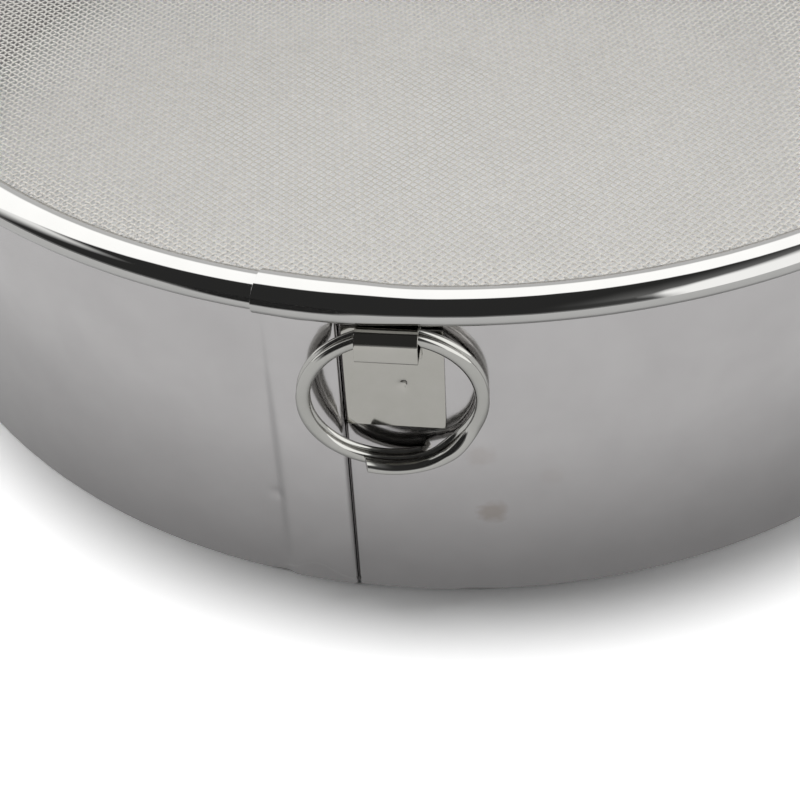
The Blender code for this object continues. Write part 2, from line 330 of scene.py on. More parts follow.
def hoop_line():
    outer = SEAM_PROUD
    hook, hem, under = (SEAM_PROUD - i * SEAM_LAYER for i in (1, 2, 3))
    radius = (outer - hem) / 2
    far_bend = -SEAM_WIDTH + CREASE + radius
    near_bend = -SHEET / 2 - radius
    line = [(s, hook) for s in run(near_bend - HOOK_GAP, far_bend, SEAM_STEP)]
    line += bend((far_bend, (hook + under) / 2), radius, math.pi / 2, math.pi)
    line += [(s, under) for s in run(far_bend, near_bend, SEAM_STEP)]
    hug = bend((near_bend, hook), hook - under, -math.pi / 2, HUG)
    line += hug + step_between(hug[-1][0], DIP, hug[-1][1], 0.0)
    line += [(s, 0.0) for s in wall_columns()]
    line += step_between(around - SEAM_WIDTH - CREASE, around - SEAM_WIDTH, 0.0, outer)
    line += [(around + s, outer) for s in run(-SEAM_WIDTH, near_bend, SEAM_STEP)]
    line += [(around + s, n) for s, n in bend((near_bend, hook), radius, math.pi / 2, -math.pi)]
    line += [(around + s, hem) for s in run(near_bend, far_bend + CREASE, SEAM_STEP)]
    return line


print("points in the hoop's line:", len(hoop_line()))

# %% [markdown]
# No thin sheet is perfectly even. The seam's foot was pressed flat when the edge was finished, the
# lower edge wanders, there is a small dent left of the seam, and the whole wall is a little uneven.
# A satin wall shows such faults only as soft bends in what it mirrors. A bump in the material could
# draw them too, but the edge and the seam also show in outline, so the points themselves move.

# %% Faults of the sheet
# A fault has its middle, its width, and how far out it goes. Azimuths are in degrees, the rest in mm.
EDGE_WAVES = ((2.6, 1.3, 0.16), (5.8, 1.6, -0.10))
EDGE_HEIGHT = 4.5              # the waves in the lower edge die out over this height
DENT_AZIMUTH = (-10.5, 0.5)
DENT_HEIGHT = (17.5, 0.9)
DENT_DEPTH = 0.2
ROLL = 0.035                   # the slow unevenness of the whole wall
ROLL_ROUND = 8                 # its noise changes this often over one radius
ROLL_HEIGHT = 22
PRESSED = 0.19                 # share of the seam's thickness that its foot has lost
PRESSED_FADE = 0.9
PRESSED_HEIGHT = 1.2           # at the seam's left and right sides
PRESSED_RISE = 2.6             # and how much higher it goes between them
PRESSED_PEAK = (0.35, 0.36)    # middle and width of that rise, as shares of the seam's width


def foot_crease(along):
    """Height of the pressed part of the seam's foot, at a place along the seam."""
    share = (along + SEAM_WIDTH) / SEAM_WIDTH
    return (PRESSED_HEIGHT + PRESSED_RISE * hump(share, *PRESSED_PEAK)) * MM


def squeeze(along, outward, height):
    """How far out a point of the seam lies once its foot is pressed."""
    inmost = SEAM_PROUD - 3 * SEAM_LAYER
    pressed = PRESSED * ease((foot_crease(along) - height) / (PRESSED_FADE * MM) + 0.5)
    return outward - pressed * (outward - inmost)


def unevenness(azimuth, height):
    """Faults of the plain sheet, in metres outward."""
    degrees = (math.degrees(azimuth) + 180) % 360 - 180
    z = height / MM
    foot = ease((EDGE_HEIGHT - z) / EDGE_HEIGHT)
    wander = sum(depth * hump(degrees, middle, width) for middle, width, depth in EDGE_WAVES)
    dent = -DENT_DEPTH * hump(degrees, *DENT_AZIMUTH) * hump(z, *DENT_HEIGHT)
    spot = (ROLL_ROUND * math.sin(azimuth), ROLL_ROUND * math.cos(azimuth), z / ROLL_HEIGHT)
    return (foot * wander + dent + ROLL * noise.noise(spot)) * MM


print("the lower edge in front stands out by, mm:", round(unevenness(math.radians(2.6), 0.0) / MM, 3))

# %% [markdown]
# The surface is pulled up from the line in rows, close together where the foot is pressed and where
# the dent is. Two numbers ride on each vertex as layers of the mesh: how far along the wall it is,
# and how far out. They tell later which layer of the seam it belongs to. Under the rim the seam's
# outer layers are notched away, as on a real hoop, so that the band can close over a single sheet.

# %% Hoop
NOTCH_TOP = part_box("rim_band")[0].z - 0.4 * MM
INMOST_LAYER = 2.6             # what lies deeper than this many layers is the innermost one
# Up to each height, rows are no further apart than the second number.
HOOP_ROWS = ((5 * MM, 0.4 * MM), (14 * MM, 1.5 * MM), (21 * MM, 0.7 * MM), (NOTCH_TOP, 2.5 * MM))


def pull_hoop(shape, edges):
    """Pulls the surface up to the hoop's top."""
    heights, low = [0.0], 0.0
    for high, step in HOOP_ROWS:
        heights += run(low, high, step)[1:]
        low = high
    heights.append(hoop_top)
    for low, high in zip(heights, heights[1:]):
        row, edges = pull_row(shape, edges)
        bmesh.ops.translate(shape, verts=row, vec=(0, 0, high - low))


def cut_notch(shape, along_layer, out_layer):
    """Leaves only the seam's innermost layer above the notch."""
    inmost = SEAM_PROUD - INMOST_LAYER * SEAM_LAYER
    upper = []
    for face in shape.faces:
        if face.calc_center_median().z > NOTCH_TOP:
            s = sum(v[along_layer] for v in face.verts) / 4
            in_seam = s < 0 or s > around - SEAM_WIDTH - CREASE
            if in_seam and max(v[out_layer] for v in face.verts) > inmost:
                upper.append(face)
    bmesh.ops.delete(shape, geom=upper, context="FACES")


def make_hoop():
    shape = bmesh.new()
    along_layer = shape.verts.layers.float.new("along")
    out_layer = shape.verts.layers.float.new("outward")
    middle = wall_radius - SHEET / 2
    line = hoop_line()
    verts, edges = draw_line(shape, [on_drum(middle + n, SEAM_AZIMUTH + s / wall_radius) for s, n in line])
    for vert, (s, n) in zip(verts, line):
        vert[along_layer] = s
        vert[out_layer] = n
    pull_hoop(shape, edges)
    cut_notch(shape, along_layer, out_layer)
    for vert in shape.verts:
        s = vert[along_layer]
        n = vert[out_layer]
        seam_s = s if s < around / 2 else s - around
        azimuth = SEAM_AZIMUTH + s / wall_radius
        if seam_s < DIP:
            near_seam = ease((seam_s + SEAM_WIDTH + 3 * CREASE) / (2 * CREASE))
            n += (squeeze(seam_s, n, vert.co.z) - n) * near_seam
        n += unevenness(azimuth, vert.co.z)
        vert.co = on_drum(middle + n, azimuth, vert.co.z)
    hoop = new_piece("hoop_sheet", shape, stainless_satin)
    thicken(hoop, SHEET, edge=0.04 * MM)
    return hoop


hoop = make_hoop()
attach(hoop, "drum")
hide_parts("wall_hoop")
print("hoop_sheet faces:", faces_of(hoop))

# %% [markdown]
# The rim band is a narrow strip of polished stainless steel. It works as a curved mirror: it shows
# the light behind as a white line, the dark side of the room as a black one, and the table as a grey
# one. Polishing leaves it almost without marks, so its roughness stays very low and it has no grain.

# %% Material of the rim band
stainless_polished = metal(
    "stainless_strip_polished", shiny="#b6b5b3", dull="#b0b0ae", rough_low=0.03, rough_high=0.05,
    cloud=6 * MM)

# %% [markdown]
# The strip is rolled to a C, which grips the cloth against the hoop. A pipe bent to a circle and cut
# open would do from afar, but the lap of its ends is easy to see. So the section is drawn once and
# turned round the drum a little over once. The upper end, just left of the seam, is raised by one
# thickness of strip and lies over the lower end. Over the next few degrees it comes back to size,
# with a small wave in its lower edge where the roller ran over the step.

# %% Section of the rim band
STRIP = 0.3 * MM
RIM_FACETS = 30
RIM_HALF_WIDTH = 3.0 * MM
RIM_HALF_HEIGHT = 2.2 * MM
LIP_RISE = 0.92 * MM           # of the inner lip over the section's middle
LIP_GAP = 0.3 * MM             # between that lip and the cloth
FOOT_GAP = 0.3 * MM            # between the section's foot and the wall
rim_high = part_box("rim_band")[1]
cloth_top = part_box("mesh_disc")[1].z
rim_radius = rim_high.x - RIM_HALF_WIDTH
rim_level = cloth_top + LIP_GAP - LIP_RISE


def rim_section():
    """Middle line of the rolled C, from lip to foot, as (radius, height, direction outward)."""
    half_width = RIM_HALF_WIDTH - STRIP / 2
    half_height = RIM_HALF_HEIGHT - STRIP / 2
    lip = math.pi - math.asin(LIP_RISE / half_height)
    foot = -math.pi / 2 - math.asin((rim_radius - wall_radius - FOOT_GAP) / half_width)
    line = []
    for i in range(RIM_FACETS + 1):
        a = lip + (foot - lip) * i / RIM_FACETS
        out = Vector((math.cos(a) / half_width, math.sin(a) / half_height)).normalized()
        line.append((rim_radius + half_width * math.cos(a), rim_level + half_height * math.sin(a), out))
    return line


print("the rim's section is centred at radius and height, mm:",
      round(rim_radius / MM, 2), round(rim_level / MM, 2))

# %% [markdown]
# Each row of the band is the last one turned on round the drum's axis. The rows are close together
# after the lap, where the wave is, and one more row lies just inside each cut end: smooth shading
# then stays on the band and doesn't run over into the cut.

# %% Rim band
LAP_AZIMUTH = math.radians(-9.8)
LAP = math.radians(6)
EASE_BACK = math.radians(6)
RIM_STEP = STRIP + 0.05 * MM   # how far the upper end is raised
CUT_ROW = math.radians(0.02)
FINE_REACH = math.radians(36)
FINE_TURN = math.radians(0.5)
COARSE_TURN = math.radians(1)
# Degrees from the upper end, width in degrees, and how far the wave stands out, mm.
RIM_WAVES = ((3.2, 1.0, 0.13), (5.6, 1.3, -0.10))
WAVE_FROM = 0.62               # the wave begins at this share of the way from lip to foot
WAVE_RISE = 0.25               # and is full after this much more
RIPPLE = 0.012 * MM            # the slight unevenness of the whole band
RIPPLE_ROUND, RIPPLE_ACROSS = 40, 6   # how often its noise changes, round the drum and from lip to foot


def rim_lift(angle, share):
    """How far a point of the band stands out: angle from the upper end, share from lip to foot."""
    raised = RIM_STEP * (1 - ease((angle - LAP) / EASE_BACK))
    wave = sum(
        depth * MM * hump(angle, math.radians(middle), math.radians(width))
        for middle, width, depth in RIM_WAVES)
    spot = (RIPPLE_ROUND * math.sin(angle), RIPPLE_ROUND * math.cos(angle), RIPPLE_ACROSS * share)
    return raised + wave * ease((share - WAVE_FROM) / WAVE_RISE) + RIPPLE * noise.noise(spot)


def make_rim():
    shape = bmesh.new()
    angle_layer = shape.verts.layers.float.new("angle")
    share_layer = shape.verts.layers.float.new("share")
    section = rim_section()
    verts, edges = draw_line(shape, [on_drum(r, LAP_AZIMUTH, z) for r, z, _ in section])
    for i, vert in enumerate(verts):
        vert[share_layer] = i / RIM_FACETS
    full = 2 * math.pi
    angles = [0, *run(CUT_ROW, FINE_REACH, FINE_TURN)]
    angles += [*run(FINE_REACH, full + LAP - CUT_ROW, COARSE_TURN)[1:], full + LAP]
    for before, angle in zip(angles, angles[1:]):
        row, edges = pull_row(shape, edges)
        turn = Matrix.Rotation(angle - before, 3, "Z")
        bmesh.ops.rotate(shape, verts=row, cent=(0, 0, 0), matrix=turn)
        for vert in row:
            vert[angle_layer] = angle
    for vert in shape.verts:
        share, angle = vert[share_layer], vert[angle_layer]
        out = section[round(share * RIM_FACETS)][2]
        # The lower end, under the lap, keeps its plain size.
        lift = rim_lift(angle, share) if angle < full - LAP else 0.0
        vert.co += on_drum(out.x, LAP_AZIMUTH + angle, out.y) * lift
    rim = new_piece("rim_strip", shape, stainless_polished)
    thicken(rim, STRIP, edge=0.02 * MM)
    return rim


rim = make_rim()
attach(rim, "drum")
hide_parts("rim_band")
print("rim_strip faces:", faces_of(rim))

# %% [markdown]
# The cloth is plain-woven from drawn stainless wire, 28 threads to the inch. Drawing leaves the wire
# with a slightly dull skin, and thousands of thin wires mirror every side of the room at once. From
# a little way off the eye gets an even pale grey, so this metal is rough and only partly mirrors.

# %% Material of the wire cloth
stainless_wire = metal(
    "stainless_wire_drawn", shiny="#dedbd5", dull="#d3d0ca", rough_low=0.50, rough_high=0.58,
    cloud=16 * MM, metallic=0.3)

# %% [markdown]
# In plain weave each wire goes over one and under the next. A texture on a flat disc would look
# right only from one distance, so the wires are real here. There are nearly 40,000 crossings, so
# each wire is a curve with one point at each crossing and only four sides. The real wire is 0.28 mm
# thick and leaves holes of 0.63 mm. Here it is drawn 0.34 mm thick, the cloth is rolled flatter than
# the real one, and its faces are left unsmoothed: that gives the closed, quiet grey of the photograph.

# %% Wire cloth
THREADS_PER_INCH = 28
pitch = 25.4 * MM / THREADS_PER_INCH
WIRE = 0.34 * MM
FLATNESS = 0.45                # thickness of the rolled cloth, against that of round wires
WEAVE_TURN = math.radians(54)
SKIRT_DROP = 1.63 * MM         # from the cloth's underside down to its turned-down edge's foot
cloth_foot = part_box("mesh_disc")[0].z
cloth_middle = (cloth_top + cloth_foot + SKIRT_DROP) / 2
cloth_reach = wall_radius - 0.6 * MM
half_rise = 0.53 * WIRE        # a little over half, so that crossing wires just clear each other


def weave_wires(name, is_warp, side):
    """Half of the wires that run one way, as one object: side is -1 or 1."""
    curve = bpy.data.curves.new(name, "CURVE")
    curve.dimensions = "3D"
    curve.bevel_depth = WIRE / 2
    curve.bevel_resolution = 0
    curve.use_fill_caps = True
    count = math.floor(cloth_reach / pitch)
    wires = range(-count, 0) if side < 0 else range(0, count + 1)
    for i in wires:
        across = i * pitch
        half = math.sqrt(cloth_reach ** 2 - across ** 2)
        last = math.floor(half / pitch)
        if last < 1:
            continue
        wire = curve.splines.new("POLY")
        wire.points.add(2 * last)
        for k in range(2 * last + 1):
            j = k - last
            over = 1 if (i + j) % 2 == 0 else -1
            rise = half_rise * (over if is_warp else -over)
            x, y = (j * pitch, across) if is_warp else (across, j * pitch)
            wire.points[k].co = (x, y, rise, 1.0)
    drawn = add_object(name, curve)
    depsgraph = bpy.context.evaluated_depsgraph_get()
    mesh = bpy.data.meshes.new_from_object(drawn.evaluated_get(depsgraph))
    bpy.data.objects.remove(drawn)
    rolled = Matrix.Diagonal((1, 1, FLATNESS, 1))
    turned = Matrix.Rotation(WEAVE_TURN, 4, "Z")
    mesh.transform(Matrix.Translation((0, 0, cloth_middle)) @ turned @ rolled)
    mesh.name = name
    mesh.materials.clear()
    mesh.materials.append(stainless_wire)
    mesh.shade_flat()
    return add_object(name, mesh)


for name, is_warp, side in (
        ("cloth_warp_left", True, -1), ("cloth_warp_right", True, 1),
        ("cloth_weft_front", False, -1), ("cloth_weft_back", False, 1)):
    wires = weave_wires(name, is_warp, side)
    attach(wires, "drum")
    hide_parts("mesh_disc")
    print(name, "faces:", faces_of(wires))

# %% [markdown]
# The cloth's edge is crushed and turned down between the hoop and the band, where no single wire
# can be made out. It is one thin cap here, made by spinning its section round the drum.

# %% Cloth edge
CRUSHED = 0.3 * MM             # thickness of the crushed edge
EDGE_CUT = 0.25 * MM           # where the cap turns down, its corner is cut off by this much
SKIRT_INSET = 0.21 * MM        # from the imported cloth's outside to the middle of the skirt
CAP_REACH = 1.2 * MM           # the cap begins this far inside the wall's outside
CAP_STEPS = 180


def make_cloth_edge():
    shape = bmesh.new()
    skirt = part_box("mesh_disc")[1].x - SKIRT_INSET
    line = [(wall_radius - CAP_REACH, cloth_middle), (skirt - EDGE_CUT, cloth_middle),
            (skirt, cloth_middle - EDGE_CUT), (skirt, cloth_foot)]
    edges = draw_line(shape, [on_drum(r, 0.0, z) for r, z in line])[1]
    bmesh.ops.spin(
        shape, geom=edges, cent=(0, 0, 0), axis=(0, 0, 1), angle=2 * math.pi, steps=CAP_STEPS,
        use_merge=True)
    edge = new_piece("cloth_edge", shape, stainless_wire)
    thicken(edge, CRUSHED)
    return edge


cloth_edge = make_cloth_edge()
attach(cloth_edge, "drum")
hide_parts("mesh_disc")
print("cloth_edge faces:", faces_of(cloth_edge))

# %% [markdown]
# The clip is cut from bright rolled stainless strip, which is shinier than the hoop's satin sheet:
# it mirrors the ring in front of it with hardly any blur. Its rolling marks run up the plate. They
# are finer than 0.1 mm on the real strip, so they are drawn 0.25 mm wide.

# %% Material of the clip
strip_bright = metal(
    "stainless_strip_bright", shiny="#b4b2ad", dull="#abaaa3", rough_low=0.06, rough_high=0.10,
    cloud=4 * MM, grain=(0.25 * MM, 3 * MM, 6 * MM), grain_depth=0.0015 * MM)

# %% [markdown]
# The clip is one T-shaped piece. Its tongue is folded forward and down into a loop that holds the
# ring, and turns back to a small tab on the plate. The plate is held by spot welds, of which one
# mark shows well and one hardly. First comes the tongue's path, as the strip is seen from the side.

# %% Path of the clip's tongue
joint = frame["joints"][0]
pivot = Vector(joint["pos_m"])
LOOP = 1.9 * MM                # inner radius of the loop
PLATE_BACK = 2.35 * MM         # from the pivot back to the middle of the plate
LOOP_TURN = math.radians(7)    # between points round the loop
LOOP_STEP = 0.4 * MM           # and along its straight parts
LOOP_DROP = -1.6 * MM          # from the pivot down to the front corner
TAB_END = -4.6 * MM            # from the pivot down to the end of the tab
TAB_GAP = 0.1 * MM             # between the tab and the plate
CORNER = 0.55 * MM             # radius of the front corner
TAB_BEND = 0.45 * MM           # radius of the bend from the strip's underside into the tab


def clip_path():
    """The tongue's middle line from the plate's top, as (outward, up) from the pivot."""
    middle = LOOP + SHEET / 2
    line = []
    # The loop's back half is a little wider than its front half, because it starts at the plate.
    for a in run(math.pi, 0, LOOP_TURN):
        reach = PLATE_BACK if a > math.pi / 2 else middle
        line.append((reach * math.cos(a), middle * math.sin(a)))
    low = LOOP_DROP - CORNER
    tab_top = low - TAB_BEND
    landing = -PLATE_BACK + SHEET + TAB_GAP
    line += [(middle, up) for up in run(0, LOOP_DROP, LOOP_STEP)[1:]]
    line += bend((middle - CORNER, LOOP_DROP), CORNER, 0.0, -math.pi / 2, 8)
    line += [(out, low) for out in run(middle - CORNER, landing + TAB_BEND, LOOP_STEP)]
    line += bend((landing + TAB_BEND, tab_top), TAB_BEND, math.pi / 2, math.pi / 2, 6)
    line += [(landing, up) for up in run(tab_top, TAB_END, LOOP_STEP)]
    return line


print("points in the tongue's path:", len(clip_path()))

# %% [markdown]
# The line along the plate's foot is pulled up first. At the plate's top only the tongue's edges go
# on, and they follow the path round the loop. The grid of points is fine enough to carry the weld
# marks, which are small hollows: the electrode stood a little askew, so each is steep on one side.

# %% Clip
TONGUE = 8.3 * MM
TONGUE_SHIFT = 0.25 * MM       # the tongue isn't quite in the middle of the plate
CLIP_SHIFT = -0.45 * MM        # and the clip sits a little left of the middle of the drum
PLATE_DROP = 0.8 * MM          # how much lower the plate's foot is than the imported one
PLATE_GRID = 0.15 * MM
SLACK = 0.01 * MM
WELDS = ((1.85, 43.1, 0.36), (-2.75, 45.8, 0.05))   # x, height and depth in mm
WELD_STEEP, WELD_FLAT = 0.4, 0.9                    # its width on the right and on the left, mm
WELD_TALL = 0.75
clip_low, clip_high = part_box("hanger_clip")


def press_welds(shape, behind):
    """Presses the marks of the spot welds into the plate."""
    for vert in shape.verts:
        if abs(vert.co.y - behind) < SLACK:
            x, z = vert.co.x / MM, vert.co.z / MM
            for a, b, depth in WELDS:
                width = WELD_STEEP if x > a else WELD_FLAT
                far = math.hypot((x - a) / width, (z - b) / WELD_TALL)
                vert.co.y += depth * hump(far, 0.0, 1.0) * MM


def make_clip():
    sides = (clip_low.x, TONGUE_SHIFT - TONGUE / 2, TONGUE_SHIFT + TONGUE / 2, clip_high.x)
    columns = [sides[0]]
    for left, right in zip(sides, sides[1:]):
        columns += run(left, right, PLATE_GRID)[1:]
    behind = pivot.y + PLATE_BACK
    plate_foot = clip_low.z - PLATE_DROP
    shape = bmesh.new()
    edges = draw_line(shape, [(x, behind, plate_foot) for x in columns])[1]
    heights = run(plate_foot, pivot.z, PLATE_GRID)
    for low, high in zip(heights, heights[1:]):
        row, edges = pull_row(shape, edges)
        bmesh.ops.translate(shape, verts=row, vec=(0, 0, high - low))
    edges = [e for e in edges if all(sides[1] - SLACK < v.co.x < sides[2] + SLACK for v in e.verts)]
    path = clip_path()
    for before, after in zip(path, path[1:]):
        row, edges = pull_row(shape, edges)
        step = (0, before[0] - after[0], after[1] - before[1])
        bmesh.ops.translate(shape, verts=row, vec=step)
    press_welds(shape, behind)
    bmesh.ops.translate(shape, verts=shape.verts, vec=(CLIP_SHIFT, 0, 0))
    clip = new_piece("clip_strip", shape, strip_bright)
    thicken(clip, SHEET, edge=0.07 * MM)
    return clip


clip = make_clip()
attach(clip, "drum")
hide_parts("hanger_clip")
print("clip_strip faces:", faces_of(clip))

# %% [markdown]
# The ring is spring steel wire with a coat of nickel. Nickel on smooth wire is nearly a mirror, a
# little warmer than stainless steel, so the ring shows the room as hard black and white bands.

# %% Material of the split ring
nickelled_wire = metal(
    "steel_wire_nickelled", shiny="#b2b1ae", dull="#aaaaa5", rough_low=0.035, rough_high=0.06,
    cloud=3 * MM)

# %% [markdown]
# A split ring is wire wound a little over two turns round a mandrel and cut. The wire is rolled to
# an oval, wider than it is thick. The turns lie against each other, and near each cut end the next
# turn steps aside to make room. This ring has been pulled open once: its front end stands off
# forward and inward and is turned about its own line. A spiral with a bevel could draw the turns,
# but not such an end, so each place along the wire is worked out from its angle.

# %% Winding of the split ring
RING_RADIUS = 12.9 * MM
WIRE_WIDTH = 1.9 * MM
WIRE_THICK = 1.22 * MM
LAYER = 1.25 * MM              # from one turn to the next
RING_OVERLAP = math.radians(40.5)
JOG_START = math.radians(57)   # the wire leaves the front layer here
JOG = math.radians(30)
END_TWIST = math.radians(47)
TWIST_START = math.radians(38)
TWIST_RUN = math.radians(46)
END_SPRING = 0.5               # how far the front end stands off, in layers
END_LIFT = 0.6 * MM            # and how far it has sprung in towards the ring's middle
ring_middle = RING_RADIUS - WIRE_WIDTH / 2


def ring_layer(angle):
    """Which layer the wire lies in, at an angle from its front end."""
    sprung = -END_SPRING * (1 - ease(angle / JOG_START))
    first = sprung + ease((angle - JOG_START) / JOG)
    return first + ease((angle - 2 * math.pi - RING_OVERLAP) / JOG)


def end_twist(angle):
    """How far the sprung front end is turned about its own line."""
    return END_TWIST * (1 - ease((angle - TWIST_START) / TWIST_RUN))


def end_lift(angle):
    """How far the front end has sprung in."""
    return END_LIFT * (1 - ease(angle / JOG_START))


print("layer of the wire at its front end and back end:",
      round(ring_layer(0.0), 2), round(ring_layer(4 * math.pi + RING_OVERLAP), 2))

# %% [markdown]
# The wire starts as a circle, whose points are moved to the oval and slanted as the cut is. It is
# then pulled round the ring's centre in small turns. Each turn also moves it along the axis by what
# the winding has climbed, and outward and back upright as the sprung end joins the rest.

# %% Split ring
WIRE_SIDES = 24
OVAL = 1.75                    # 2 is an ellipse, and less than 2 has flatter flanks
CUT_SLANT = 0.45               # of the cut ends, as a slope
RING_TURN = math.radians(2.5)
FRONT = 1.55 * MM              # from the pivot out to the middle of the front turn
RING_HANG = -11.15 * MM        # from the pivot down to the ring's middle
RING_START = math.radians(-20.5)
RING_LEAN = math.radians(1.8)
RING_YAW = math.radians(5.0)


def wire_outline(verts, width, thick):
    """Moves the vertices of a circle to the wire's oval."""
    for vert in verts:
        a = math.atan2(vert.co.z, vert.co.y)
        c, s = math.cos(a), math.sin(a)
        size = (abs(c) ** OVAL + abs(s) ** OVAL) ** (-1 / OVAL)
        tall = s * size * width / 2
        vert.co = Vector((-CUT_SLANT * tall, c * size * thick / 2, tall))


def front_end(shape):
    """Draws the cut face of the front end in its place, and returns its vertices."""
    verts = bmesh.ops.create_circle(
        shape, segments=WIRE_SIDES, radius=1.0, cap_ends=True,
        matrix=Matrix.Rotation(math.pi / 2, 4, "Y"))["verts"]
    wire_outline(verts, WIRE_WIDTH, WIRE_THICK)
    bmesh.ops.rotate(shape, verts=verts, cent=(0, 0, 0), matrix=Matrix.Rotation(-END_TWIST, 3, "X"))
    start = (0, ring_layer(0) * LAYER - FRONT, RING_HANG - ring_middle + end_lift(0))
    bmesh.ops.translate(shape, verts=verts, vec=start)
    return verts


def make_ring():
    shape = bmesh.new()
    row = front_end(shape)
    centre = Vector((0, 0, RING_HANG))
    bmesh.ops.rotate(shape, verts=row, cent=centre, matrix=Matrix.Rotation(-RING_START, 3, "Y"))
    edges = list(shape.edges)
    angles = run(0, 4 * math.pi + RING_OVERLAP, RING_TURN)
    for before, angle in zip(angles, angles[1:]):
        row, edges = pull_row(shape, edges)
        bmesh.ops.rotate(shape, verts=row, cent=centre, matrix=Matrix.Rotation(before - angle, 3, "Y"))
        around_ring = RING_START + angle
        outward = Vector((math.sin(around_ring), 0, -math.cos(around_ring)))
        sink = end_lift(before) - end_lift(angle)
        climb = (ring_layer(angle) - ring_layer(before)) * LAYER
        bmesh.ops.translate(shape, verts=row, vec=outward * sink + Vector((0, climb, 0)))
        untwist = end_twist(before) - end_twist(angle)
        if untwist > 0:
            forward = Vector((math.cos(around_ring), 0, math.sin(around_ring)))
            middle = sum((v.co for v in row), Vector()) / len(row)
            bmesh.ops.rotate(shape, verts=row, cent=middle, matrix=Matrix.Rotation(untwist, 3, forward))
    bmesh.ops.contextual_create(shape, geom=row)
    turned = Matrix.Translation(pivot) @ Matrix.Rotation(RING_YAW, 4, "Z")
    bmesh.ops.transform(shape, matrix=turned @ Matrix.Rotation(RING_LEAN, 4, "X"), verts=shape.verts)
    ring = new_piece("ring_wire", shape, nickelled_wire)
    round_shading(ring, sharp=50)
    return ring


ring = make_ring()
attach(ring, "ring")
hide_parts("split_ring")
print("ring_wire faces:", faces_of(ring))

# %% [markdown]
# The camera stands close in front of the drum and looks down on it, so the drum's sides run out of
# the picture. Its place, its three turns and its lens were fitted to the rim, the lower edge, the
# clip and the ring. Its axes are built from these turns one by one: the way ahead on the level, then
# tipped down, then rolled a little.

# %% Camera
CAMERA_PLACE = Vector((29.0, -280.1, 223.5)) * MM
CAMERA_YAW = math.radians(-8.96)
CAMERA_PITCH = math.radians(45.22)
CAMERA_ROLL = math.radians(-3.26)
LENS = 86.6
level_ahead = Vector((math.sin(CAMERA_YAW), math.cos(CAMERA_YAW), 0))
level_right = Vector((math.cos(CAMERA_YAW), -math.sin(CAMERA_YAW), 0))
straight_up = Vector((0, 0, 1))
ahead = level_ahead * math.cos(CAMERA_PITCH) - straight_up * math.sin(CAMERA_PITCH)
upward = level_ahead * math.sin(CAMERA_PITCH) + straight_up * math.cos(CAMERA_PITCH)
right_hand = level_right * math.cos(CAMERA_ROLL) + upward * math.sin(CAMERA_ROLL)
top_hand = upward * math.cos(CAMERA_ROLL) - level_right * math.sin(CAMERA_ROLL)
camera_data = bpy.data.cameras.new("camera")
camera_data.lens = LENS
camera_data.sensor_width = 36.0
camera_data.sensor_fit = "HORIZONTAL"
camera_data.clip_start = 0.01
camera = add_object("camera", camera_data)
camera.matrix_world = Matrix.Translation(CAMERA_PLACE) @ Matrix(
    (right_hand, top_hand, -ahead)).transposed().to_4x4()
bpy.context.scene.camera = camera
print("camera at, mm:", [round(c / MM, 1) for c in camera.location])

# %% [markdown]
# The table is a sheet of matt white paper. Three kinds of ray look at it, and each needs a level of
# its own: Light Path tells the nodes which one is looking. The camera sees it white, and inside the
# drum, where it shows through the cloth, darker by a painted shade. Matt surfaces get plain light
# from it. Metal sees it darker outside the drum, with a painted glow that fills in the shadow and
# grows over the first few centimetres from the wall.

# %% Material of the table
PAPER = 0.8
# The lower level inside the drum is painted shade on the table under the cloth.
PAPER_TO_CAMERA = (2.0, 1.4)   # outside and inside the drum
PAPER_TO_METAL = (0.45, 0.88)
GLOW_IN_SHADOW = 0.27          # near the wall
GLOW_OUTSIDE = 0.48            # and further out
GLOW_INSIDE = 0.12
SHADOW_EDGE = (wall_radius + 10 * MM, wall_radius + 34 * MM)


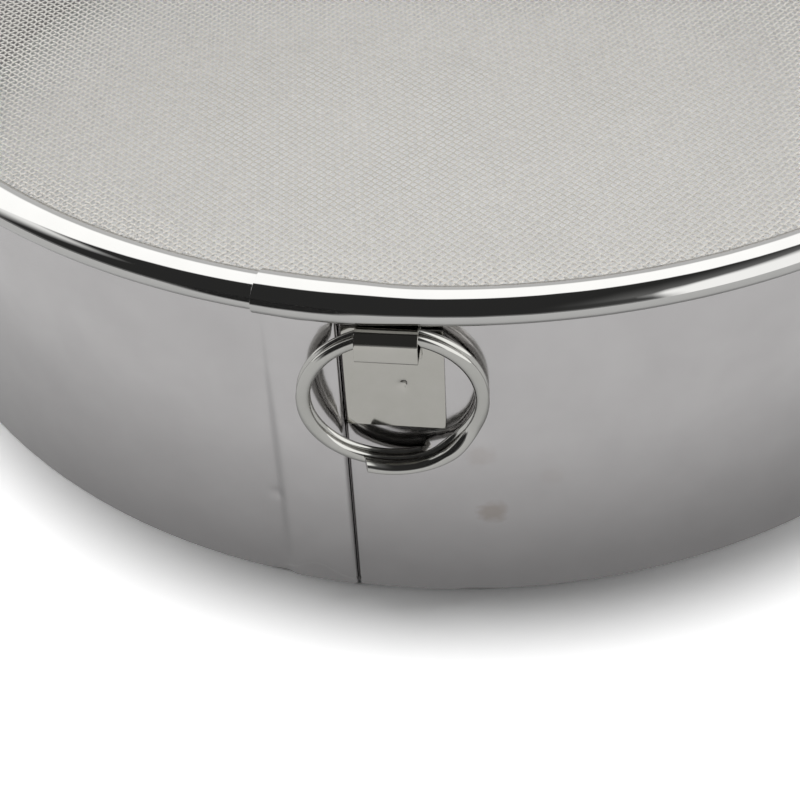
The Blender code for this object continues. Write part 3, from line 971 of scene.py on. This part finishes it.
def white_paper():
    paper = bpy.data.materials.new("paper_matt_white")
    paper.use_nodes = True
    tree = paper.node_tree
    tree.nodes.clear()
    path = add_node(tree, "ShaderNodeLightPath").outputs
    mirror_ray = add_node(tree, "ShaderNodeMath", {
        0: path["Is Glossy Ray"], 1: path["Is Transmission Ray"]}, operation="MAXIMUM")
    # Light that has already left a matt surface only needs the plain level.
    first_hand = add_node(tree, "ShaderNodeMath", {0: path["Diffuse Depth"], 1: 0.5}, operation="LESS_THAN")
    mirrored = add_node(tree, "ShaderNodeMath", {
        0: mirror_ray.outputs["Value"], 1: first_hand.outputs["Value"]}, operation="MULTIPLY")
    place = add_node(tree, "ShaderNodeTexCoord").outputs["Object"]
    off_centre = add_node(tree, "ShaderNodeVectorMath", {0: place}, operation="LENGTH")
    inside = add_node(tree, "ShaderNodeMath", {
        0: off_centre.outputs["Value"], 1: wall_radius}, operation="LESS_THAN")
    level = PAPER
    for looking, (outer, inner) in (
            (path["Is Camera Ray"], PAPER_TO_CAMERA), (mirrored.outputs["Value"], PAPER_TO_METAL)):
        extra = add_node(tree, "ShaderNodeMath", {
            0: inside.outputs["Value"], 1: inner - outer, 2: outer - PAPER}, operation="MULTIPLY_ADD")
        level = add_node(tree, "ShaderNodeMath", {
            0: looking, 1: extra.outputs["Value"], 2: level}, operation="MULTIPLY_ADD").outputs["Value"]
    colour = add_node(tree, "ShaderNodeCombineColor", {"Red": level, "Green": level, "Blue": level})
    matt = add_node(tree, "ShaderNodeBsdfDiffuse", {"Color": colour.outputs["Color"]})
    # Painted glow that only reflections see, rising from the shadow by the wall to the open table.
    rising = add_node(tree, "ShaderNodeMapRange", {
        "Value": off_centre.outputs["Value"], "From Min": SHADOW_EDGE[0], "From Max": SHADOW_EDGE[1],
        "To Min": GLOW_IN_SHADOW, "To Max": GLOW_OUTSIDE}, interpolation_type="SMOOTHSTEP")
    strength = add_node(tree, "ShaderNodeMix", {
        "Factor": inside.outputs["Value"], "A": rising.outputs["Result"], "B": GLOW_INSIDE},
        data_type="FLOAT")
    in_mirror = add_node(tree, "ShaderNodeMath", {
        0: mirrored.outputs["Value"], 1: strength.outputs["Result"]}, operation="MULTIPLY")
    glow = add_node(tree, "ShaderNodeEmission", {"Strength": in_mirror.outputs["Value"]})
    both = add_node(tree, "ShaderNodeAddShader", {0: matt.outputs["BSDF"], 1: glow.outputs["Emission"]})
    add_node(tree, "ShaderNodeOutputMaterial", {"Surface": both.outputs["Shader"]})
    return paper


paper = white_paper()
print("nodes in the paper's material:", len(paper.node_tree.nodes))

# %% [markdown]
# The floor itself is one big square.

# %% Floor
FLOOR_REACH = 3000 * MM
floor_shape = bmesh.new()
bmesh.ops.create_grid(floor_shape, x_segments=1, y_segments=1, size=FLOOR_REACH)
floor = new_piece("floor", floor_shape, paper, turn_out=False)
print("floor, metres across:", 2 * FLOOR_REACH)

# %% [markdown]
# The camera's side of the room was dark, and polished metal shows that as black lines. Photographers
# stand a black felt card there to draw such a line, and so does this scene. Only reflections see it.
# The felt thins out towards its edge, so that no hard line shows in the metal.

# %% Dark stand in front
STAND_AZIMUTH = math.radians(-17)
STAND_GAP = 108 * MM           # from the wall to the stand's foot
STAND_WIDTH = 110 * MM
STAND_HEIGHT = 110 * MM
FELT_MIDDLE = 0.6 * STAND_HEIGHT
FELT_SOLID = 0.25 * STAND_WIDTH
FELT_END = 0.5 * STAND_WIDTH


def black_felt():
    """Felt that swallows nearly all light and has no gloss."""
    felt = bpy.data.materials.new("felt_black")
    felt.use_nodes = True
    tree = felt.node_tree
    shader = tree.nodes["Principled BSDF"]
    shader.inputs["Base Color"].default_value = hex_colour("#3a3a3a")
    shader.inputs["Roughness"].default_value = 1.0
    shader.inputs["Specular IOR Level"].default_value = 0.0
    place = add_node(tree, "ShaderNodeTexCoord").outputs["Object"]
    middle = on_drum(wall_radius + STAND_GAP, STAND_AZIMUTH, FELT_MIDDLE)
    far = add_node(tree, "ShaderNodeVectorMath", {0: place, 1: middle}, operation="DISTANCE")
    solid = add_node(tree, "ShaderNodeMapRange", {
        "Value": far.outputs["Value"], "From Min": FELT_SOLID, "From Max": FELT_END,
        "To Min": 1.0, "To Max": 0.0}, interpolation_type="SMOOTHSTEP")
    tree.links.new(solid.outputs["Result"], shader.inputs["Alpha"])
    return felt


def make_stand():
    shape = bmesh.new()
    bmesh.ops.create_grid(shape, x_segments=1, y_segments=1, size=0.5)
    size = Matrix.Diagonal((STAND_WIDTH, STAND_HEIGHT, 1, 1))
    upright = Matrix.Rotation(STAND_AZIMUTH, 4, "Z") @ Matrix.Rotation(math.pi / 2, 4, "X")
    middle = on_drum(wall_radius + STAND_GAP, STAND_AZIMUTH, STAND_HEIGHT / 2)
    bmesh.ops.transform(shape, matrix=Matrix.Translation(middle) @ upright @ size, verts=shape.verts)
    stand = new_piece("black_stand", shape, black_felt(), turn_out=False)
    stand.visible_camera = False
    stand.visible_diffuse = False
    stand.visible_shadow = False
    stand.visible_transmission = False
    return stand


stand = make_stand()
print("stand faces:", faces_of(stand))

# %% [markdown]
# The picture was taken in soft light from above and a little behind. One sun does that: its wide
# angle blurs the shadow's edge, and its tilt lets the shadow fall in front of the drum. Reflections
# don't show it, because the world below paints all that the metal mirrors.

# %% Lamp overhead
LAMP_SPREAD = math.radians(14.5)
LAMP_TIP = math.radians(-5.0)
LAMP_TURN = math.radians(26)
lamp_data = bpy.data.lights.new("overhead", "SUN")
lamp_data.energy = 1.0
lamp_data.angle = LAMP_SPREAD
lamp = add_object("overhead", lamp_data)
lamp.rotation_euler = (LAMP_TIP, 0, LAMP_TURN)
lamp.visible_glossy = False
print("lamp spread, degrees:", round(math.degrees(lamp_data.angle), 1))

# %% [markdown]
# Most of what the metal shows is the room: a white wall behind, a window on each side, and a weak
# glow near the floor and on the right, with darkness between them. Cards and lamps could stand there
# instead, but here the world paints them, and so their edges can be as soft as wanted. Each light is
# a product of soft steps, and each step follows one direction through the room.

# %% Lights of the room
world = bpy.data.worlds.new("studio")
bpy.context.scene.world = world
world.use_nodes = True
tree = world.node_tree
tree.nodes.clear()
toward = add_node(tree, "ShaderNodeTexCoord").outputs["Generated"]
TO_RIGHT = Vector((1, 0, 0))
TO_BACK = Vector((0, 1, 0))
UP = Vector((0, 0, 1))
# A step is a direction, where along it the light starts and ends to change, and the levels there.
WALL_BEHIND = ((Vector((-0.27, 0.91, -0.31)), -0.03, 0.03, 0.0, 1.0), (UP, 0.36, 0.46, 0.92, 2.16))
WINDOW_RIGHT = (
    (TO_RIGHT, 0.42, 0.54, 0.0, 1.9), (UP, 0.75, 0.95, 1.0, 0.0),
    (Vector((0.8, 0.6, 0)), -0.08, 0.05, 0.0, 1.0))
WINDOW_LEFT = (
    (TO_RIGHT, -0.55, -0.68, 0.0, 1.6), (UP, 0.75, 0.95, 1.0, 0.0), (TO_BACK, -0.35, 0.0, 0.0, 1.0))
GLOW_RIGHT = ((TO_RIGHT, 0.22, 0.55, 0.0, 0.23), (UP, 0.45, 0.7, 0.25, 1.0))
GLOW_LOW = ((UP, 0.22, 0.0, 0.044, 0.36),)
SOFT_DAYLIGHT = ((level_ahead, -0.3, 0.3, 0.024, 1.2),)
LIGHTS = (WALL_BEHIND, WINDOW_RIGHT, WINDOW_LEFT)
GLOWS = (GLOW_RIGHT, GLOW_LOW)


def room_light(steps):
    """The level of one light in the direction that is looked in."""
    level = 1.0
    for direction, start, end, before, after in steps:
        along = add_node(tree, "ShaderNodeVectorMath", {0: toward, 1: direction}, operation="DOT_PRODUCT")
        change = add_node(tree, "ShaderNodeMapRange", {
            "Value": along.outputs["Value"], "From Min": start, "From Max": end,
            "To Min": before, "To Max": after}, interpolation_type="SMOOTHSTEP")
        level = add_node(tree, "ShaderNodeMath", {
            0: level, 1: change.outputs["Result"]}, operation="MULTIPLY").outputs["Value"]
    return level


print("lights that metal mirrors:", len(LIGHTS) + len(GLOWS))

# %% [markdown]
# Where lights overlap, the brighter one counts, and the glows add up. As with the table, each kind
# of ray gets what it needs: metal the painted room, matt surfaces a soft daylight from behind, and
# the camera plain white.

# %% World
mirrored = 0.0
for operation, lights in (("ADD", GLOWS), ("MAXIMUM", LIGHTS)):
    for steps in lights:
        mirrored = add_node(tree, "ShaderNodeMath", {
            0: mirrored, 1: room_light(steps)}, operation=operation).outputs["Value"]
rays = add_node(tree, "ShaderNodeLightPath").outputs
first_hand = add_node(tree, "ShaderNodeMath", {0: rays["Diffuse Depth"], 1: 0.5}, operation="LESS_THAN")
in_mirror = add_node(tree, "ShaderNodeMath", {
    0: rays["Is Glossy Ray"], 1: first_hand.outputs["Value"]}, operation="MULTIPLY")
reflected = add_node(tree, "ShaderNodeMix", {
    "Factor": in_mirror.outputs["Value"], "A": room_light(SOFT_DAYLIGHT), "B": mirrored}, data_type="FLOAT")
seen = add_node(tree, "ShaderNodeMix", {
    "Factor": rays["Is Camera Ray"], "A": reflected.outputs["Result"], "B": 1.0}, data_type="FLOAT")
sky = add_node(tree, "ShaderNodeBackground", {
    "Color": hex_colour("#ffffff"), "Strength": seen.outputs["Result"]})
add_node(tree, "ShaderNodeOutputWorld", {"Surface": sky.outputs["Background"]})
print("world nodes:", len(tree.nodes))

# %% [markdown]
# Standard view keeps a colour on screen as it was written.

# %% View
bpy.context.scene.view_settings.view_transform = "Standard"
